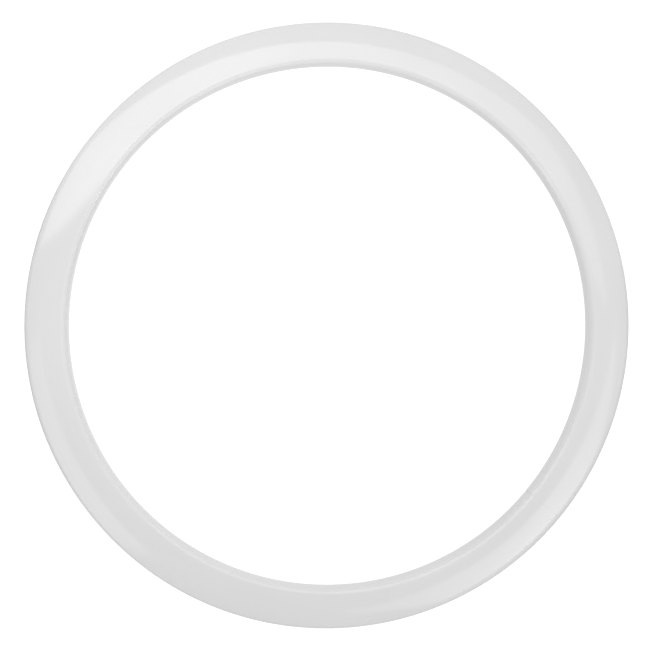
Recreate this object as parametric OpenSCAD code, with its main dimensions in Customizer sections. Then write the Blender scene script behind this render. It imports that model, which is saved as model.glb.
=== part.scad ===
// A rigid gymnastics hoop: one hollow plastic profile bent into a ring, its two ends butted
// together over an internal plug and held there by four flush push-in pins.
// It lies flat: +Z is the ring's axis and the origin is the middle of its resting face.
// All lengths are in millimetres.

/* [Hoop] */
// Diameter of the opening
opening_d = 800; // [700:10:900]
// Width of the rim, from the inner wall to the nose
rim_w = 65; // [58:1:72]
// Depth of the rim, along the ring's axis
rim_depth = 40; // [36:1:48]

/* [Rim section] */
// Wall of the hollow profile
wall = 1.4; // [1.2:0.1:1.8]
// Radius of the two lips beside the inner wall
lip_r = 9; // [6:0.5:10]
// Width of the flat land between each lip and the dome
land_w = 4; // [3:1:8]
// Radius of the nose round the outside
nose_r = 12; // [9:0.5:14]

/* [Butt joint] */
// Where the tube's two ends meet, from +X towards +Y
joint_az = 320; // [0:5:355]
// Gap left between the two ends
joint_gap = 0.1; // [0.05:0.05:0.5]
// Length of the plug, along the middle of the rim
plug_length = 110; // [100:5:150]
// Gap between the plug and the inside of the tube
plug_fit = 0.15; // [0.1:0.05:0.2]
// Wall of the hollow plug
plug_wall = 2; // [1.6:0.1:2.4]
// Thickness of the web across the middle of the plug
plug_web = 6; // [4:1:8]

/* [Pins] */
// Distance along the rim from the joint to each nearer pin
pin_near = 18; // [14:1:22]
// Distance along the rim from the joint to each farther pin
pin_far = 40; // [34:1:42]
// Diameter of a pin's flat head
pin_head_d = 7; // [6:0.5:8]
// Thickness of a pin's flat head
pin_head_t = 0.7; // [0.5:0.1:0.8]
// Diameter of a pin's shank
pin_shank_d = 4; // [3:0.5:4.5]
// How far a pin's barb stands out past its shank, on the radius
pin_barb = 0.3; // [0.2:0.05:0.4]
// Length of a pin's barbed nose, past the plug's wall
pin_nose = 4; // [3:0.5:5]
// Gap round a pin, on the radius
pin_fit = 0.05; // [0.05:0.01:0.1]

/* [Hidden] */
PIN_COUNT = 4;

SHELL_WHITE = [0.93, 0.93, 0.93];
PLUG_WHITE = [0.80, 0.80, 0.79];
PIN_WHITE = [0.88, 0.88, 0.87];

// Facets of a full turn: fine enough to look round, since every turned face is a true surface
RING_FN = 240;
PIN_FN = 48;
LIP_STEPS = 6;
DOME_STEPS = 14;
NOSE_STEPS = 12;

// Profile geometry: x runs outwards from the inner wall, y along the axis from mid-depth
opening_r = opening_d / 2;
middle_r = opening_r + rim_w / 2;
half_depth = rim_depth / 2;
dome_x = lip_r + land_w;
nose_x = rim_w - nose_r;
dome_run = nose_x - dome_x;
// The dome is tangent to the flat land and to the nose
dome_r = (dome_run ^ 2 + half_depth ^ 2 - nose_r ^ 2) / (2 * (half_depth - nose_r));
dome_end = atan2(dome_r - half_depth, dome_run);

// Radii at which the walls of the tube and the plug lie
plug_skin = wall + plug_fit;
plug_core = plug_skin + plug_wall;

cut_extra = 1;

// Angle about the ring's axis that an arc of this length takes at this radius
function arc_angle(length, radius) = length / radius * 180 / PI;

// Points of an arc, from one angle to another
function arc(x, y, r, from, to, steps, first = 0) =
    [for (i = [first:steps]) let (a = from + (to - from) * i / steps) [x + r * cos(a), y + r * sin(a)]];

// The rim's closed outline, moved inwards by inset all the way round
function rim_outline(inset) = concat(
    arc(lip_r, half_depth - lip_r, lip_r - inset, 180, 90, LIP_STEPS),
    arc(dome_x, half_depth - dome_r, dome_r - inset, 90, dome_end, DOME_STEPS),
    arc(nose_x, 0, nose_r - inset, dome_end, -dome_end, NOSE_STEPS, first = 1),
    arc(dome_x, dome_r - half_depth, dome_r - inset, -dome_end, -90, DOME_STEPS, first = 1),
    arc(lip_r, lip_r - half_depth, lip_r - inset, -90, -180, LIP_STEPS));

// The outline in place beside the ring's axis
module rim_face(inset) {
    translate([opening_r, half_depth]) polygon(rim_outline(inset));
}

// A stretch of ring, from one angle from the joint to another, with the face given as its child
module sweep(from, to) {
    rotate([0, 0, joint_az + from]) rotate_extrude(angle = to - from, $fn = RING_FN) children();
}

// Angles from the joint at which the pins stand: far and near on one side, near and far on the other
pin_angles = [for (s = [-pin_far, -pin_near, pin_near, pin_far]) arc_angle(s, opening_r)];

// Puts its child at a pin's place, with +Z pointing outwards from the surface of the inner wall
module at_pin(angle) {
    rotate([0, 0, joint_az + angle]) translate([opening_r, 0, half_depth]) rotate([0, 90, 0]) children();
}

module hoop_tube() {
    gap_angle = arc_angle(joint_gap, middle_r);
    color(SHELL_WHITE) difference() {
        sweep(gap_angle / 2, 360 - gap_angle / 2) difference() {
            rim_face(0);
            rim_face(wall);
        }
        for (angle = pin_angles) at_pin(angle) {
            // Seat that the head sinks into
            translate([0, 0, -cut_extra])
                cylinder(d = pin_head_d + 2 * pin_fit, h = cut_extra + pin_head_t + pin_fit, $fn = PIN_FN);
            // Hole for the shank
            cylinder(d = pin_shank_d + 2 * pin_fit, h = wall + cut_extra, $fn = PIN_FN);
        }
    }
}

module joint_plug() {
    half_plug = arc_angle(plug_length / 2, middle_r);
    half_web = arc_angle(plug_web / 2, middle_r);
    past_end = arc_angle(cut_extra, middle_r);
    color(PLUG_WHITE) difference() {
        sweep(-half_plug, half_plug) rim_face(plug_skin);
        // One open pocket each side of the web
        sweep(-half_plug - past_end, -half_web) rim_face(plug_core);
        sweep(half_web, half_plug + past_end) rim_face(plug_core);
        for (angle = pin_angles) at_pin(angle)
            cylinder(d = pin_shank_d + 2 * pin_fit, h = plug_core + cut_extra, $fn = PIN_FN);
    }
}

// A pin is turned about its own axis: flat head, plain shank through both walls, then a barbed nose
module joint_pin(number) {
    shank_end = plug_core + pin_fit;
    shank_r = pin_shank_d / 2;
    barb_r = shank_r + pin_barb;
    color(PIN_WHITE) at_pin(pin_angles[number - 1]) rotate_extrude($fn = PIN_FN) polygon([
        [0, pin_fit],
        [pin_head_d / 2, pin_fit],
        [pin_head_d / 2, pin_head_t],
        [shank_r, pin_head_t],
        [shank_r, shank_end],
        [barb_r, shank_end],
        [shank_r / 2, shank_end + pin_nose],
        [0, shank_end + pin_nose]]);
}

hoop_tube();
joint_plug();
for (i = [1:PIN_COUNT])
    joint_pin(i);
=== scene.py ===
import math

import bmesh
import bpy
import numpy as np
from mathutils import Matrix, Vector


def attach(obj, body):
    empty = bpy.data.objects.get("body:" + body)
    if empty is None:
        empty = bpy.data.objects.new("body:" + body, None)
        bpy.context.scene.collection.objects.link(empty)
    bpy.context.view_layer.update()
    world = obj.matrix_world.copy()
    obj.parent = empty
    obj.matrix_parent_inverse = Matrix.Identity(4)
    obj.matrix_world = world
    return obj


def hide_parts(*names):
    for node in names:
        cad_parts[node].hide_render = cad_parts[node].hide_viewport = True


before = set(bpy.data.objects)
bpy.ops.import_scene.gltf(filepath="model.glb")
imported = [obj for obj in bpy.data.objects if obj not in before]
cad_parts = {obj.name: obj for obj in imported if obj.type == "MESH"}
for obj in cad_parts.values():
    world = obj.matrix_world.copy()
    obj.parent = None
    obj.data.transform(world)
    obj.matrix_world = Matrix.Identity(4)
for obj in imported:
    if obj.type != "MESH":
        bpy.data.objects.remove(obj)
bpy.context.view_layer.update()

scene = bpy.context.scene

# ---------------------------------------------------------------- the part's own sizes, in metres
MM = 0.001
OPENING_R = 400 * MM
RIM_W = 65 * MM
HALF_DEPTH = 20 * MM
WALL = 1.4 * MM
LIP_R = 9 * MM
LAND_W = 4 * MM
NOSE_R = 12 * MM
MIDDLE_R = OPENING_R + RIM_W / 2
ONCE_ROUND = 2 * math.pi * OPENING_R
JOINT_AZ = math.radians(320)
# The tube's ends are pressed together here, closer than in the CAD
JOINT_GAP = 0.03 * MM
PIN_ARCS = [-40 * MM, -18 * MM, 18 * MM, 40 * MM]
SEAT_R = 3.55 * MM
SEAT_CHAMFER = 0.12 * MM
SEAT_DEPTH = 0.75 * MM
BORE_R = 2.05 * MM
HEAD_R = 3.5 * MM
HEAD_TOP = 0.05 * MM
HEAD_UNDER = 0.7 * MM
SHANK_R = 2 * MM
SHANK_END = 3.6 * MM
BARB_R = 2.3 * MM
PIN_END = 7.6 * MM

DOME_X = LIP_R + LAND_W
NOSE_X = RIM_W - NOSE_R
DOME_RUN = NOSE_X - DOME_X
DOME_R = (DOME_RUN ** 2 + HALF_DEPTH ** 2 - NOSE_R ** 2) / (2 * (HALF_DEPTH - NOSE_R))
DOME_END = math.atan2(DOME_R - HALF_DEPTH, DOME_RUN)

# ---------------------------------------------------------------- how finely the meshes are cut
LIP_STEPS = 10
DOME_STEPS = 10
NOSE_STEPS = 20
PLAIN_STATION = 4.4 * MM
JOINT_STATION = 2 * MM
JOINT_REACH = 50 * MM
# Stations of the first rings behind a cut end, and how far the outline is drawn in at them to break the edge
EDGE_STATIONS = [0.0, 0.01 * MM, 0.03 * MM, 0.7 * MM]
EDGE_INSETS = [0.02 * MM, 0.005 * MM, 0.0]
# Each pin's window in the inner wall: half its side, the stations across it, and its first corner's angle
WINDOW = 6 * MM
WINDOW_CELLS = 6
FIRST_CORNER = math.radians(225)
# Heights of the mesh rows up the straight inner wall, from mid-depth
WALL_ROWS = [row * 2 * MM for row in range(-5, 6)]
CIRCLE = 48
SHARP = math.radians(32)


def arc(x, y, r, start, end, steps, first=0):
    """Points of an arc in the section's plane, angles in radians."""
    angles = [start + (end - start) * i / steps for i in range(first, steps + 1)]
    return [(x + r * math.cos(a), y + r * math.sin(a)) for a in angles]


def section(inset):
    """The rim's closed outline moved inwards by inset: x outwards from the inner wall, y from mid-depth."""
    quarter, half = math.pi / 2, math.pi
    top_lip = arc(LIP_R, HALF_DEPTH - LIP_R, LIP_R - inset, half, quarter, LIP_STEPS)
    dome = arc(DOME_X, HALF_DEPTH - DOME_R, DOME_R - inset, quarter, DOME_END, DOME_STEPS)
    nose = arc(NOSE_X, 0, NOSE_R - inset, DOME_END, -DOME_END, NOSE_STEPS, first=1)
    upper = top_lip + dome
    lower = [(x, -y) for x, y in reversed(upper)]
    wall = [(inset, y) for y in WALL_ROWS]
    return np.array(upper + nose[:-1] + lower + wall)


def ring_point(x, y, s):
    """A point of the section at x, y, an arc s from the joint along the inner wall."""
    a = JOINT_AZ + s / OPENING_R
    return ((OPENING_R + x) * math.cos(a), (OPENING_R + x) * math.sin(a), HALF_DEPTH + y)


def stations():
    """Arcs from the joint at which the tube's section is set out, close together near the joint."""
    gap = JOINT_GAP / 2 * OPENING_R / MIDDLE_R
    start = [gap + step for step in EDGE_STATIONS]
    start += list(np.arange(1, JOINT_REACH / JOINT_STATION + 0.5) * JOINT_STATION)
    count = round((ONCE_ROUND - 2 * JOINT_REACH) / PLAIN_STATION)
    far = list(np.linspace(JOINT_REACH, ONCE_ROUND - JOINT_REACH, count + 1)[1:-1])
    return start + far + [ONCE_ROUND - s for s in reversed(start)]


# How far the skin beside the inner wall is off true at the cut ends: on the radius, out at one end and in
# at the other, and along the axis, nearer to mid-depth at the end that stands in. Then how far that goes:
# outwards from the inner wall, and along the tube from each end
END_STEP_OUT = 0.35 * MM
END_STEP_DOWN = 0.15 * MM
END_STEP_FAR = 25 * MM
END_STEP_REACH = 11 * MM


def build_tube():
    """The hollow ring: outer skin, cavity, both cut ends, and four seats with shank holes."""
    places = stations()
    skin, cavity = section(0.0), section(WALL)
    count = len(skin)
    verts, faces = [], []
    for j, s in enumerate(places):
        from_end = min(j, len(places) - 1 - j)
        outline = section(EDGE_INSETS[from_end]) if from_end < len(EDGE_INSETS) else skin
        side = -1 if s < ONCE_ROUND / 2 else 1
        reach = min(min(s, ONCE_ROUND - s) / END_STEP_REACH, 1.0)
        ease = side * (0.5 + 0.5 * math.cos(math.pi * reach))
        for x, y in outline:
            here = ease * min(max((END_STEP_FAR - x) / (END_STEP_FAR - LIP_R), 0.0), 1.0)
            squeeze = 1 + min(here, 0.0) * END_STEP_DOWN / HALF_DEPTH
            verts.append(ring_point(x + here * END_STEP_OUT, y * squeeze, s))
    inner = len(verts)
    for s in places:
        verts.extend(ring_point(x, y, s) for x, y in cavity)

    # Rows of the inner wall that bound each window, and the stations that do
    wall_first = count - len(WALL_ROWS)
    row_low = wall_first + WALL_ROWS.index(-WINDOW)
    row_high = wall_first + WALL_ROWS.index(WINDOW)
    windows = []
    for pin in PIN_ARCS:
        centre = pin % ONCE_ROUND
        low = int(np.argmin([abs(s - (centre - WINDOW)) for s in places]))
        windows.append((centre, low, low + WINDOW_CELLS))

    def in_window(j, i):
        return any(low <= j < high and row_low <= i < row_high for _, low, high in windows)

    for j in range(len(places) - 1):
        for i in range(count):
            k = (i + 1) % count
            if in_window(j, i):
                continue
            faces.append((j * count + i, j * count + k, (j + 1) * count + k, (j + 1) * count + i))
            a = inner + j * count
            faces.append((a + k, a + i, a + count + i, a + count + k))
    for j in (0, len(places) - 1):
        for i in range(count):
            k = (i + 1) % count
            a, b = j * count, inner + j * count
            faces.append((a + i, b + i, b + k, a + k))

    def border(base, low, high):
        """The window's border, once round, as vertex numbers."""
        rim = [base + low * count + i for i in range(row_low, row_high)]
        rim += [base + j * count + row_high for j in range(low, high)]
        rim += [base + high * count + i for i in range(row_high, row_low, -1)]
        return rim + [base + j * count + row_low for j in range(high, low, -1)]

    def circle(centre, radius, x, curved=False):
        """A circle about a pin's axis, at x outwards from the inner wall: flat, or curved as the wall is.
        It starts at the angle of a window's first corner, so that the two can be joined."""
        first = len(verts)
        azimuth = JOINT_AZ + centre / OPENING_R
        out = Vector((math.cos(azimuth), math.sin(azimuth), 0))
        along = Vector((-out.y, out.x, 0))
        for c in range(CIRCLE):
            a = FIRST_CORNER + 2 * math.pi * c / CIRCLE
            u, v = radius * math.sin(a), radius * math.cos(a)
            depth = math.sqrt((OPENING_R + x) ** 2 - u ** 2) if curved else OPENING_R + x
            verts.append(tuple(out * depth + along * u + Vector((0, 0, HALF_DEPTH + v))))
        return list(range(first, first + CIRCLE))

    def bridge(rim, loop):
        """Joins a border of n vertices to a circle of 2 n, which start level with each other."""
        n = len(rim)
        for i in range(n):
            k = (i + 1) % n
            c0, c1, c2 = loop[2 * i], loop[2 * i + 1], loop[(2 * i + 2) % len(loop)]
            faces.append((rim[i], c0, c1))
            faces.append((rim[i], c1, rim[k]))
            faces.append((rim[k], c1, c2))

    def band(one, two):
        """Joins two circles of as many vertices."""
        for i in range(len(one)):
            k = (i + 1) % len(one)
            faces.append((one[i], one[k], two[k], two[i]))

    for centre, low, high in windows:
        loops = [circle(centre, SEAT_R + SEAT_CHAMFER, 0.0, curved=True)]
        loops.append(circle(centre, SEAT_R, SEAT_CHAMFER))
        loops.append(circle(centre, SEAT_R, SEAT_DEPTH))
        loops.append(circle(centre, BORE_R, SEAT_DEPTH))
        loops.append(circle(centre, BORE_R, WALL, curved=True))
        bridge(border(0, low, high), loops[0])
        for one, two in zip(loops, loops[1:]):
            band(one, two)
        bridge(border(inner, low, high), loops[-1])
    return finish_mesh("hoop_shell", verts, faces)


def finish_mesh(name, verts, faces):
    """An object from vertices and faces, all facing outwards, smooth but for its sharp edges."""
    mesh = bpy.data.meshes.new(name)
    mesh.from_pydata([tuple(v) for v in verts], [], faces)
    work = bmesh.new()
    work.from_mesh(mesh)
    loose = [v for v in work.verts if not v.link_faces]
    bmesh.ops.delete(work, geom=loose, context="VERTS")
    bmesh.ops.recalc_face_normals(work, faces=work.faces)
    if work.calc_volume(signed=True) < 0:
        bmesh.ops.reverse_faces(work, faces=work.faces)
    work.to_mesh(mesh)
    work.free()
    mesh.shade_smooth()
    mesh.set_sharp_from_angle(angle=SHARP)
    piece = bpy.data.objects.new(name, mesh)
    scene.collection.objects.link(piece)
    return piece


def pin_outline():
    """Half a pin's section from the middle of its head to its tip: radius, and depth from the wall's face."""
    fillet, dimple_r, dimple_t = 0.2 * MM, 0.8 * MM, 0.15 * MM
    points = [(0, HEAD_TOP + dimple_t), (dimple_r * 0.6, HEAD_TOP + dimple_t * 0.85)]
    points += [(dimple_r, HEAD_TOP + dimple_t * 0.3), (dimple_r * 1.2, HEAD_TOP)]
    points += [(dimple_r * 2.2, HEAD_TOP), (HEAD_R - fillet - 0.3 * MM, HEAD_TOP)]
    for i in range(5):
        a = math.pi / 2 * i / 4
        points.append((HEAD_R - fillet + fillet * math.sin(a), HEAD_TOP + fillet - fillet * math.cos(a)))
    points += [(HEAD_R, HEAD_UNDER - 0.05 * MM), (HEAD_R - 0.05 * MM, HEAD_UNDER)]
    points += [(SHANK_R + 0.02 * MM, HEAD_UNDER), (SHANK_R, HEAD_UNDER + 0.05 * MM), (SHANK_R, SHANK_END)]
    points += [(BARB_R - 0.08 * MM, SHANK_END), (BARB_R, SHANK_END + 0.1 * MM)]
    points += [(SHANK_R / 2 + 0.15 * MM, PIN_END - 0.3 * MM), (SHANK_R / 2 - 0.1 * MM, PIN_END), (0, PIN_END)]
    return points


def build_pin(number, arc_from_joint):
    """A turned pin in its own frame, placed at its seat: +Z points outwards from the inner wall."""
    outline = pin_outline()
    verts, faces = [(0, 0, outline[0][1])], []
    rings = outline[1:-1]
    for r, z in rings:
        for c in range(CIRCLE):
            a = 2 * math.pi * c / CIRCLE
            verts.append((r * math.cos(a), r * math.sin(a), z))
    tip = len(verts)
    verts.append((0, 0, outline[-1][1]))
    for c in range(CIRCLE):
        d = (c + 1) % CIRCLE
        faces.append((0, 1 + d, 1 + c))
        for k in range(len(rings) - 1):
            a, b = 1 + k * CIRCLE, 1 + (k + 1) * CIRCLE
            faces.append((a + c, a + d, b + d, b + c))
        last = 1 + (len(rings) - 1) * CIRCLE
        faces.append((last + c, last + d, tip))
    piece = finish_mesh(f"pin_{number}", verts, faces)
    azimuth = JOINT_AZ + arc_from_joint / OPENING_R
    place = Matrix.Rotation(azimuth, 4, "Z") @ Matrix.Translation((OPENING_R, 0, HALF_DEPTH))
    piece.matrix_world = place @ Matrix.Rotation(math.pi / 2, 4, "Y")
    return piece


# ---------------------------------------------------------------- materials
class Nodes:
    """A node tree, with short ways to add and join nodes."""

    def __init__(self, tree):
        self.tree = tree

    def add(self, kind, inputs=None, **settings):
        node = self.tree.nodes.new(kind)
        for key, value in settings.items():
            setattr(node, key, value)
        for key, value in (inputs or {}).items():
            self.put(node.inputs[key], value)
        return node

    def put(self, socket, value):
        if isinstance(value, bpy.types.NodeSocket):
            self.tree.links.new(value, socket)
        else:
            socket.default_value = value

    def math(self, operation, a, b=0.0, c=None):
        node = self.add("ShaderNodeMath", {0: a, 1: b}, operation=operation)
        if c is not None:
            self.put(node.inputs[2], c)
        return node.outputs[0]

    def vector(self, operation, a, b=None, scale=None):
        node = self.add("ShaderNodeVectorMath", {0: a}, operation=operation)
        if b is not None:
            self.put(node.inputs[1], b)
        if scale is not None:
            self.put(node.inputs["Scale"], scale)
        return node.outputs["Value" if operation in ("LENGTH", "DISTANCE") else 0]

    def noise(self, at, scale, detail=2.0, roughness=0.5):
        node = self.add("ShaderNodeTexNoise", {"Vector": at, "Scale": scale, "Detail": detail})
        self.put(node.inputs["Roughness"], roughness)
        return node.outputs["Fac"]

    def spread(self, value, low, high, to_low, to_high):
        """Maps low..high to to_low..to_high, clamped."""
        inputs = {"Value": value, "From Min": low, "From Max": high, "To Min": to_low, "To Max": to_high}
        return self.add("ShaderNodeMapRange", inputs).outputs["Result"]

    def tint(self, amount, dark, light):
        node = self.add("ShaderNodeMix", {"Factor": amount}, data_type="RGBA")
        self.put(node.inputs["A"], dark)
        self.put(node.inputs["B"], light)
        return node.outputs["Result"]

    def shade(self, name, value):
        self.put(self.tree.nodes["Principled BSDF"].inputs[name], value)

    def place_and_radius(self):
        """Object coordinates, their three parts, and the distance from the object's own Z axis."""
        place = self.add("ShaderNodeTexCoord").outputs["Object"]
        x, y, z = self.add("ShaderNodeSeparateXYZ", {0: place}).outputs
        square = self.math("ADD", self.math("MULTIPLY", x, x), self.math("MULTIPLY", y, y))
        return place, x, y, z, self.math("SQRT", square)

    def bump(self, height, distance, strength=1.0, normal=None):
        node = self.add("ShaderNodeBump", {"Height": height, "Distance": distance, "Strength": strength})
        if normal is not None:
            self.put(node.inputs["Normal"], normal)
        return node.outputs["Normal"]

    def step(self, value, low, high):
        """Rises smoothly from 0 at low to 1 at high."""
        inputs = {"Value": value, "From Min": low, "From Max": high}
        return self.add("ShaderNodeMapRange", inputs, interpolation_type="SMOOTHSTEP").outputs["Result"]

    def blend(self, factor, a, b):
        """Two values mixed: a where factor is 0, b where it is 1."""
        node = self.add("ShaderNodeMix", {"Factor": factor}, data_type="FLOAT")
        self.put(node.inputs["A"], a)
        self.put(node.inputs["B"], b)
        return node.outputs["Result"]

    def felt_and_seen(self, felt, seen):
        """A strength that is felt by the object, and another that the camera sees directly."""
        return self.blend(self.add("ShaderNodeLightPath").outputs["Is Camera Ray"], felt, seen)

    def level_way(self, way):
        """The x and y of a direction once it is laid level."""
        level = self.vector("NORMALIZE", self.vector("MULTIPLY", way, (1, 1, 0)))
        return self.add("ShaderNodeSeparateXYZ", {0: level}).outputs[:2]

    def leaning(self, x, y, even, more_x, more_y):
        return self.math("ADD", self.math("MULTIPLY_ADD", x, more_x, even), self.math("MULTIPLY", y, more_y))

    def flags(self, x, y):
        """Where the two dark cards stand, by direction: 1 on them, 0 away from them."""
        right = self.step(self.leaning(x, y, 0.0, *FLAG_RIGHT), *FLAG_EDGE)
        left = self.step(self.leaning(x, y, 0.0, *FLAG_LEFT), *FLAG_EDGE)
        return self.math("MAXIMUM", right, left)

    def dimmed(self, value, where, depth):
        """A value less its share depth where the second one is 1."""
        return self.math("MULTIPLY", value, self.math("SUBTRACT", 1.0, self.math("MULTIPLY", where, depth)))


def grey(level):
    return (level, level, level, 1.0)


def new_material(name):
    material = bpy.data.materials.new(name)
    material.use_nodes = True
    return material, Nodes(material.node_tree)


SHELL_GREY = 0.80
SHELL_MOTTLE = 0.018
SHELL_GLOSS = 0.07
SHELL_IOR = 1.56
DIE_LINES = 900.0
PIT_GREY = 0.48
PIT_DEPTH = 0.4
# Faint dark pits in the skin: azimuth in degrees, radius from the ring's axis in metres, spot radius
PITS = [(114, 0.4185, 0.7 * MM), (253, 0.443, 0.6 * MM), (259.5, 0.4355, 0.5 * MM), (277, 0.4475, 0.7 * MM),
        (316.7, 0.443, 0.6 * MM), (74.5, 0.4095, 0.5 * MM), (89, 0.4095, 0.5 * MM), (96.5, 0.4095, 0.5 * MM)]


def shell_plastic():
    material, n = new_material("gloss_plastic_shell")
    place, x, y, z, radius = n.place_and_radius()
    # Die lines left along the tube, from a noise stretched round the ring
    round_x = n.math("MULTIPLY", n.math("DIVIDE", x, radius), 3.0)
    round_y = n.math("MULTIPLY", n.math("DIVIDE", y, radius), 3.0)
    across = n.math("MULTIPLY", n.math("ADD", radius, z), DIE_LINES)
    along = n.add("ShaderNodeCombineXYZ", {0: round_x, 1: round_y, 2: across})
    lines = n.noise(along.outputs[0], 1.0, 3.0, 0.6)
    cloud = n.noise(place, 7.0, 3.0, 0.5)
    fine = n.noise(place, 260.0, 2.0, 0.5)
    # Colour: nearly even, with a slow cloudiness, the die lines and the pits
    blend = n.math("ADD", n.math("MULTIPLY", cloud, 0.6), n.math("MULTIPLY", lines, 0.4))
    dark, light = grey(SHELL_GREY - SHELL_MOTTLE), grey(SHELL_GREY + SHELL_MOTTLE)
    colour = n.tint(n.spread(blend, 0.3, 0.7, 0.0, 1.0), dark, light)
    flat = n.vector("MULTIPLY", place, (1.0, 1.0, 0.0))
    pit = None
    for azimuth, r, size in PITS:
        a = math.radians(azimuth)
        off = n.vector("DISTANCE", flat, (r * math.cos(a), r * math.sin(a), 0.0))
        mark = n.spread(off, size * 0.4, size * 1.2, 1.0, 0.0)
        pit = mark if pit is None else n.math("MAXIMUM", pit, mark)
    pit = n.math("MULTIPLY", pit, n.math("GREATER_THAN", z, HALF_DEPTH))
    n.shade("Base Color", n.tint(n.math("MULTIPLY", pit, PIT_DEPTH), colour, grey(PIT_GREY)))
    # Gloss: even, a little duller in scuffs and where hands and floors rub it
    rub = n.spread(n.noise(place, 24.0, 4.0, 0.6), 0.52, 0.75, 0.0, 1.0)
    rough = n.math("ADD", n.math("MULTIPLY", rub, 0.05), n.math("MULTIPLY", lines, 0.03))
    n.shade("Roughness", n.math("ADD", rough, SHELL_GLOSS))
    n.shade("IOR", SHELL_IOR)
    normal = n.bump(lines, 0.006 * MM, 0.5)
    normal = n.bump(fine, 0.004 * MM, 0.5, normal)
    n.shade("Normal", n.bump(n.noise(place, 40.0, 1.0, 0.4), 0.05 * MM, 0.4, normal))
    return material


def plug_plastic():
    material, n = new_material("matte_plastic_plug")
    place = n.add("ShaderNodeTexCoord").outputs["Object"]
    grain = n.noise(place, 900.0, 3.0, 0.6)
    flow = n.noise(n.vector("MULTIPLY", place, (1.0, 1.0, 5.0)), 30.0, 3.0, 0.5)
    n.shade("Base Color", n.tint(n.spread(flow, 0.3, 0.7, 0.0, 1.0), grey(0.62), grey(0.68)))
    n.shade("Roughness", n.spread(grain, 0.3, 0.7, 0.42, 0.58))
    n.shade("Normal", n.bump(grain, 0.03 * MM, 0.6))
    return material


def pin_plastic():
    material, n = new_material("satin_plastic_pin")
    place, _, _, _, radius = n.place_and_radius()
    # Fine turned rings
    rings = n.math("SINE", n.math("MULTIPLY", radius, 2 * math.pi / (0.25 * MM)))
    grain = n.noise(place, 1500.0, 3.0, 0.6)
    n.shade("Base Color", n.tint(n.noise(place, 300.0, 2.0, 0.5), grey(0.74), grey(0.80)))
    n.shade("Roughness", n.spread(grain, 0.3, 0.7, 0.2, 0.32))
    n.shade("Normal", n.bump(grain, 0.01 * MM, 0.5, n.bump(rings, 0.003 * MM, 0.5)))
    return material


def dress(piece, material):
    piece.data.materials.clear()
    piece.data.materials.append(material)


# ---------------------------------------------------------------- the object
shell = build_tube()
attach(shell, "root")
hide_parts("hoop_tube")
dress(shell, shell_plastic())

pin_material = pin_plastic()
for number, arc_from_joint in enumerate(PIN_ARCS, start=1):
    pin = build_pin(number, arc_from_joint)
    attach(pin, "root")
    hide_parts(f"joint_pin_{number}")
    dress(pin, pin_material)

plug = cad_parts["joint_plug"]
plug.data.materials.clear()
plug.data.materials.append(plug_plastic())

# ---------------------------------------------------------------- floor, world and lights
FLOOR_HALF = 30.0
# What the camera sees of floor and walls. The object is lit by the softer glow below
SEEN_WHITE = 1.1
# The floor's glow inside and outside the ring, each as even light, more towards +X, more towards +Y
FLOOR_INSIDE = (0.784, -0.07, 0.0)
FLOOR_OUTSIDE = (0.709, -0.013, 0.075)
# The rim's shade on the floor outside it: how far it reaches and how much light it takes
SHADE_REACH = 100 * MM
SHADE_DEPTH = 0.8
# Two dark cards, one each side: their directions, how their sides fade, how high they reach, and how much
# light they take
FLAG_RIGHT = (math.cos(math.radians(-20)), math.sin(math.radians(-20)))
FLAG_LEFT = (-1.0, 0.0)
FLAG_EDGE = (0.78, 0.96)
FLAG_TOP = (0.2, 0.45)
FLAG_DEPTH = 0.85
# Studio walls by height, each as even light, more from +X, more from +Y
SKY_TOP = 0.34
SKY_MIDDLE = (0.497, 0.108, -0.022)
SKY_LOW = (0.905, 0.017, 0.035)
# Heights, as the sine of the elevation, over which one wall level turns into the next
LOW_TO_MIDDLE = (0.2, 0.5)
MIDDLE_TO_TOP = (0.7, 0.95)


def floor_material():
    material, n = new_material("pale_floor")
    n.tree.nodes.remove(n.tree.nodes["Principled BSDF"])
    flat = n.vector("MULTIPLY", n.add("ShaderNodeNewGeometry").outputs["Position"], (1, 1, 0))
    x, y, _ = n.add("ShaderNodeSeparateXYZ", {0: n.vector("SCALE", flat, scale=1 / OPENING_R)}).outputs
    inside = n.leaning(x, y, *FLOOR_INSIDE)
    x, y = n.level_way(flat)
    out = n.vector("LENGTH", flat)
    # The rim's own shade on the floor beside it, deeper towards the dark cards
    shade = n.math("SUBTRACT", 1.0, n.step(out, OPENING_R + RIM_W, OPENING_R + RIM_W + SHADE_REACH))
    shade = n.math("MULTIPLY", shade, n.flags(x, y))
    outside = n.dimmed(n.leaning(x, y, *FLOOR_OUTSIDE), shade, SHADE_DEPTH)
    glow = n.blend(n.math("GREATER_THAN", out, OPENING_R + LIP_R), inside, outside)
    emit = n.add("ShaderNodeEmission", {"Color": grey(1.0), "Strength": n.felt_and_seen(glow, SEEN_WHITE)})
    n.put(n.tree.nodes["Material Output"].inputs["Surface"], emit.outputs[0])
    # The floor is so large and even that rays find it by themselves, which leaves less noise
    material.cycles.emission_sampling = "NONE"
    return material


floor_mesh = bpy.data.meshes.new("floor")
h = FLOOR_HALF
floor_mesh.from_pydata([(-h, -h, 0), (h, -h, 0), (h, h, 0), (-h, h, 0)], [], [(0, 1, 2, 3)])
floor = bpy.data.objects.new("floor", floor_mesh)
scene.collection.objects.link(floor)
floor.data.materials.append(floor_material())

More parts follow.
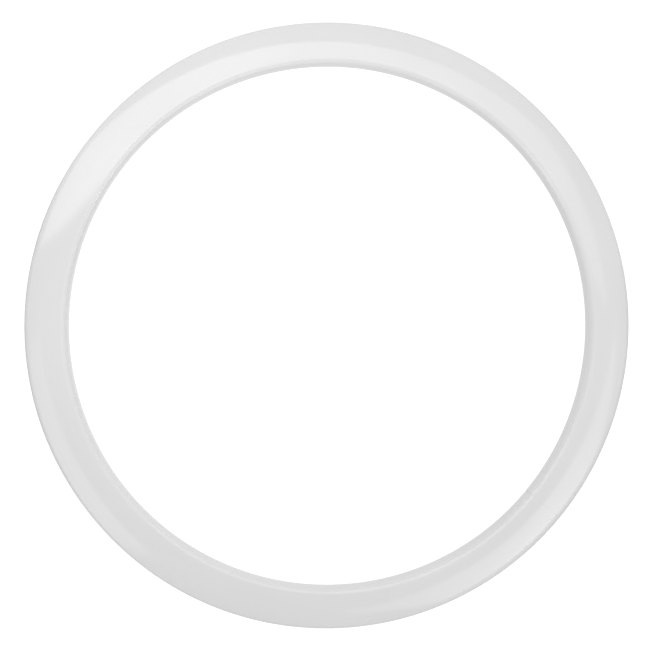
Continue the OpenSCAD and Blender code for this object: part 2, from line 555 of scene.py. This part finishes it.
world = bpy.data.worlds.new("studio")
scene.world = world
world.use_nodes = True
w = Nodes(world.node_tree)
way = w.add("ShaderNodeTexCoord").outputs["Generated"]
height = w.add("ShaderNodeSeparateXYZ", {0: way}).outputs[2]
way_x, way_y = w.level_way(way)
card = w.math("MULTIPLY", w.flags(way_x, way_y), w.math("SUBTRACT", 1.0, w.step(height, *FLAG_TOP)))
wall_low = w.dimmed(w.leaning(way_x, way_y, *SKY_LOW), card, FLAG_DEPTH)
wall_middle = w.leaning(way_x, way_y, *SKY_MIDDLE)
sky = w.blend(w.step(height, *LOW_TO_MIDDLE), wall_low, wall_middle)
sky = w.blend(w.step(height, *MIDDLE_TO_TOP), sky, SKY_TOP)
w.put(w.tree.nodes["Background"].inputs["Color"], grey(1.0))
w.put(w.tree.nodes["Background"].inputs["Strength"], w.felt_and_seen(sky, SEEN_WHITE))


def softbox(name, centre, aim, turn, size_x, size_y, radiance, along, across=(1.0, 1.0), edge=0.04):
    """A rectangular area light facing aim, its first side turned from +X about its own axis.
    radiance is what a mirror would see of it. along gives its brightness at places along the first side,
    across at the two ends of the second side, and edge how softly it ends."""
    light = bpy.data.lights.new(name, "AREA")
    light.shape = "RECTANGLE"
    light.size, light.size_y = size_x, size_y
    light.energy = radiance * math.pi * size_x * size_y
    light.use_nodes = True
    n = Nodes(light.node_tree)
    spot = n.add("ShaderNodeSeparateXYZ", {0: n.add("ShaderNodeTexCoord").outputs["UV"]})
    ramp = n.add("ShaderNodeValToRGB", {0: spot.outputs[0]})
    stops = ramp.color_ramp.elements
    for at, level in along[1:-1]:
        stops.new(at).color = grey(level)
    stops[0].color, stops[-1].color = grey(along[0][1]), grey(along[-1][1])
    strength = n.math("MULTIPLY", ramp.outputs["Color"], n.spread(spot.outputs[1], 0.0, 1.0, *across))
    for at in spot.outputs[:2]:
        for value in (at, n.math("SUBTRACT", 1.0, at)):
            strength = n.math("MULTIPLY", strength, n.step(value, 0.0, edge))
    n.put(n.tree.nodes["Emission"].inputs["Strength"], strength)
    box = bpy.data.objects.new(name, light)
    scene.collection.objects.link(box)
    box.location = centre
    facing = (Vector(aim) - Vector(centre)).to_track_quat("-Z", "Y").to_matrix()
    box.rotation_euler = (facing @ Matrix.Rotation(turn, 3, "Z")).to_euler()
    box.visible_camera = False
    return box


softbox("softbox_top", (-0.45, 0.84, 1.5), (-0.45, 0.84, 0.0), math.radians(-9.6), 3.9, 1.14, 1.908,
        [(0.0, 0.80), (0.25, 0.88), (0.42, 1.0), (0.5, 0.98),
         (0.58, 0.96), (0.66, 0.8), (0.76, 0.55), (1.0, 0.42)], edge=0.07)
softbox("softbox_over", (0.0, 0.0, 2.2), (0.0, 0.0, 0.0), 0.0, 1.15, 1.15, 0.57,
        [(0.0, 1.0), (1.0, 1.0)], edge=0.2)
softbox("softbox_low_left", (-1.46, -0.81, 0.9), (-0.38, -0.21, 0.02), 0.0, 1.6, 1.5, 0.965,
        [(0.0, 0.35), (0.6, 1.0), (1.0, 1.0)], edge=0.12)
softbox("softbox_low_right", (1.61, -1.45, 1.5), (1.61, -1.45, 0.0), math.radians(42), 2.4, 2.05, 2.689,
        [(0.0, 0.4), (0.5, 1.0), (1.0, 0.4)], across=(1.0, 0.4), edge=0.08)

# ---------------------------------------------------------------- camera
LENS = 72.44
CAMERA_PLACE = (-0.175, 0.059, 2.02)
CAMERA_AIM = (-0.0108, 0.0036, 0.02)
camera_data = bpy.data.cameras.new("camera")
camera_data.sensor_width = 36.0
camera_data.lens = LENS
camera = bpy.data.objects.new("camera", camera_data)
scene.collection.objects.link(camera)
camera.location = CAMERA_PLACE
view = (Vector(CAMERA_AIM) - camera.location).normalized()
side = view.cross(Vector((0, 1, 0))).normalized()
up = side.cross(view)
camera.rotation_euler = Matrix((side, up, -view)).transposed().to_euler()
camera_data.clip_start, camera_data.clip_end = 0.05, 100.0
scene.camera = camera

scene.view_settings.view_transform = "Standard"
